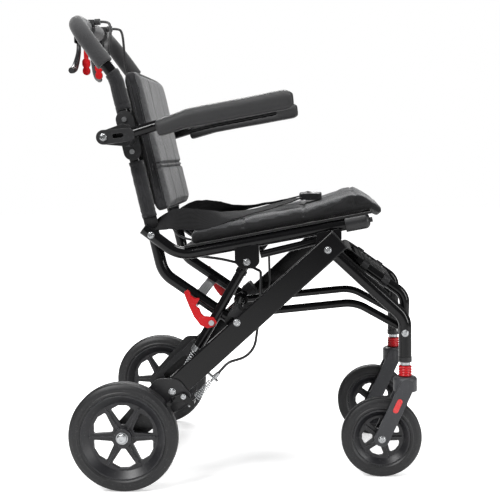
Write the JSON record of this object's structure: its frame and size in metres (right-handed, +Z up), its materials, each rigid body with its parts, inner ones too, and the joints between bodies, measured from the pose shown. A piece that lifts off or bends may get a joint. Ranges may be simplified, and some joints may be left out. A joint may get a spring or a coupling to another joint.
{
  "type": "manual wheelchair",
  "caption": "Folding attendant-pushed travel wheelchair with flat diagonal side beams, sprung struts, red latches, swivel casters, flip-up armrests and a stowed footrest.",
  "frame": {"origin": "on the floor, midway along the chair and on its middle plane", "axes": "+X the way the chair faces, +Y to its left, +Z up"},
  "size_m": [0.6546, 0.536, 0.8692],
  "materials": {
    "frame_black": "semi-gloss black powder coat",
    "plastic_black": "black moulded nylon",
    "plastic_grey": "dark grey moulded nylon",
    "rubber_tyre": "solid black tyre",
    "rim_grey": "black moulded wheel centre",
    "zinc": "bright zinc plated",
    "plate_silver": "plain bright plate",
    "red_plastic": "glossy red",
    "foam": "closed-cell foam",
    "pad_foam": "skinned foam",
    "cloth_grey": "mid grey woven nylon",
    "cloth_black": "black woven nylon",
    "webbing": "black webbing",
    "cable_black": "black cable housing"
  },
  "bodies": {
    "frame": {"beams": "frame_black", "end_caps": "plastic_black", "rear_brackets": "frame_black", "cross_tubes": "frame_black", "rear_axle_bolts": "zinc", "seat_rails": "frame_black", "rail_brackets": "frame_black", "struts": "frame_black", "springs": "zinc", "frame_bolts": "zinc", "zinc_fittings": "zinc", "seat_sling": "cloth_black", "seat_pad": "cloth_grey", "belt_straps": "webbing", "belt_buckle": "plastic_black", "cables_lower": "cable_black"},
    "back": {"back_tube": "frame_black", "back_cross_plate": "plate_silver", "grip_foam": "foam", "brake_housings": "plastic_black", "back_bolts": "zinc", "arm_clamps": "plastic_black", "back_cover": "cloth_black", "back_pad": "cloth_grey", "cables_upper": "cable_black"},
    "legs": {"front_legs": "frame_black", "leg_bolts": "zinc", "stem_bushes": "plastic_black", "stem_boots": "red_plastic"},
    "links": {"links": "frame_black"},
    "footrest": {"footrest_frame": "frame_black", "footplate": "plastic_black"},
    "caster_left": {"caster_fork_left": "plastic_grey", "caster_axle_left": "zinc", "reflector_left": "red_plastic"},
    "front_wheel_left": {"front_rim_left": "rim_grey", "front_tyre_left": "rubber_tyre"},
    "rear_wheel_left": {"rear_rim_left": "rim_grey", "rear_tyre_left": "rubber_tyre"},
    "armrest_left": {"arm_knuckle_left": "plastic_black", "arm_tube_left": "frame_black", "arm_pad_left": "pad_foam"},
    "latch_left": {"latch_left": "red_plastic"},
    "brake_arm_left": {"brake_arm_left": "frame_black"},
    "brake_lever_left": {"brake_lever_left": "plastic_black"},
    "lock_tab_left": {"lock_tab_left": "red_plastic"},
    "caster_right": {"caster_fork_right": "plastic_grey", "caster_axle_right": "zinc", "reflector_right": "red_plastic"},
    "front_wheel_right": {"front_rim_right": "rim_grey", "front_tyre_right": "rubber_tyre"},
    "rear_wheel_right": {"rear_rim_right": "rim_grey", "rear_tyre_right": "rubber_tyre"},
    "armrest_right": {"arm_knuckle_right": "plastic_black", "arm_tube_right": "frame_black", "arm_pad_right": "pad_foam"},
    "latch_right": {"latch_right": "red_plastic"},
    "brake_arm_right": {"brake_arm_right": "frame_black"},
    "brake_lever_right": {"brake_lever_right": "plastic_black"},
    "lock_tab_right": {"lock_tab_right": "red_plastic"}
  },
  "joints": [
    {"name": "back_fold", "type": "hinge", "parent": "frame", "child": "back", "pos_m": [-0.16725, 0, 0.462], "axis": [0, 1, 0], "range_deg": [0, 75], "deforming": ["belt_straps", "cables_upper", "seat_pad"]},
    {"name": "leg_fold", "type": "hinge", "parent": "frame", "child": "legs", "pos_m": [0.15425, 0, 0.434], "axis": [0, 1, 0], "range_deg": [0, 75]},
    {"name": "link_turn", "type": "hinge", "parent": "back", "child": "links", "pos_m": [-0.02565, 0, 0.3007], "axis": [0, 1, 0], "range_deg": [-75, 0]},
    {"name": "footrest_flip", "type": "hinge", "parent": "legs", "child": "footrest", "pos_m": [0.29585, 0, 0.2727], "axis": [0, 1, 0], "range_deg": [0, 150]},
    {"name": "rear_wheel_spin_left", "type": "hinge", "parent": "frame", "child": "rear_wheel_left", "pos_m": [-0.21875, 0.244, 0.1], "axis": [0, 1, 0], "continuous": true},
    {"name": "caster_swivel_left", "type": "hinge", "parent": "legs", "child": "caster_left", "pos_m": [0.29685, 0.15, 0.19], "axis": [0, 0, 1], "continuous": true},
    {"name": "front_wheel_spin_left", "type": "hinge", "parent": "caster_left", "child": "front_wheel_left", "pos_m": [0.25225, 0.15, 0.075], "axis": [0, 1, 0], "continuous": true},
    {"name": "armrest_flip_left", "type": "hinge", "parent": "back", "child": "armrest_left", "pos_m": [-0.23975, 0.248, 0.64], "axis": [0, -1, 0], "range_deg": [0, 90]},
    {"name": "latch_pull_left", "type": "hinge", "parent": "frame", "child": "latch_left", "pos_m": [-0.05875, 0.2, 0.301], "axis": [0, -1, 0], "range_deg": [0, 28], "stiffness_Nm_per_rad": 0.3, "springref_deg": -17.19},
    {"name": "brake_lever_pull_left", "type": "hinge", "parent": "back", "child": "brake_lever_left", "pos_m": [-0.32025, 0.06, 0.833], "axis": [1, 0, 0], "range_deg": [0, 20], "stiffness_Nm_per_rad": 0.8, "springref_deg": -5.73},
    {"name": "brake_arm_turn_left", "type": "hinge", "parent": "frame", "child": "brake_arm_left", "pos_m": [-0.10975, 0.229, 0.17], "axis": [0, -1, 0], "range_deg": [0, 9]},
    {"name": "lock_tab_push_left", "type": "hinge", "parent": "back", "child": "lock_tab_left", "pos_m": [-0.30675, 0.06, 0.828], "axis": [0, -1, 0], "range_deg": [0, 18]},
    {"name": "rear_wheel_spin_right", "type": "hinge", "parent": "frame", "child": "rear_wheel_right", "pos_m": [-0.21875, -0.244, 0.1], "axis": [0, 1, 0], "continuous": true},
    {"name": "caster_swivel_right", "type": "hinge", "parent": "legs", "child": "caster_right", "pos_m": [0.29685, -0.15, 0.19], "axis": [0, 0, 1], "continuous": true},
    {"name": "front_wheel_spin_right", "type": "hinge", "parent": "caster_right", "child": "front_wheel_right", "pos_m": [0.25225, -0.15, 0.075], "axis": [0, 1, 0], "continuous": true},
    {"name": "armrest_flip_right", "type": "hinge", "parent": "back", "child": "armrest_right", "pos_m": [-0.23975, -0.248, 0.64], "axis": [0, -1, 0], "range_deg": [0, 90]},
    {"name": "latch_pull_right", "type": "hinge", "parent": "frame", "child": "latch_right", "pos_m": [-0.05875, -0.2, 0.301], "axis": [0, -1, 0], "range_deg": [0, 28], "stiffness_Nm_per_rad": 0.3, "springref_deg": -17.19},
    {"name": "brake_lever_pull_right", "type": "hinge", "parent": "back", "child": "brake_lever_right", "pos_m": [-0.32025, -0.06, 0.833], "axis": [-1, 0, 0], "range_deg": [0, 20], "stiffness_Nm_per_rad": 0.8, "springref_deg": -5.73},
    {"name": "brake_arm_turn_right", "type": "hinge", "parent": "frame", "child": "brake_arm_right", "pos_m": [-0.10975, -0.229, 0.17], "axis": [0, -1, 0], "range_deg": [0, 9]},
    {"name": "lock_tab_push_right", "type": "hinge", "parent": "back", "child": "lock_tab_right", "pos_m": [-0.30675, -0.06, 0.828], "axis": [0, -1, 0], "range_deg": [0, 18]}
  ],
  "couplings": [
    {"joint": "leg_fold", "follows": "back_fold", "ratio": 1},
    {"joint": "link_turn", "follows": "back_fold", "ratio": -1},
    {"joint": "brake_arm_turn_left", "follows": "brake_lever_pull_left", "ratio": 0.45},
    {"joint": "brake_arm_turn_right", "follows": "brake_lever_pull_right", "ratio": 0.45}
  ]
}
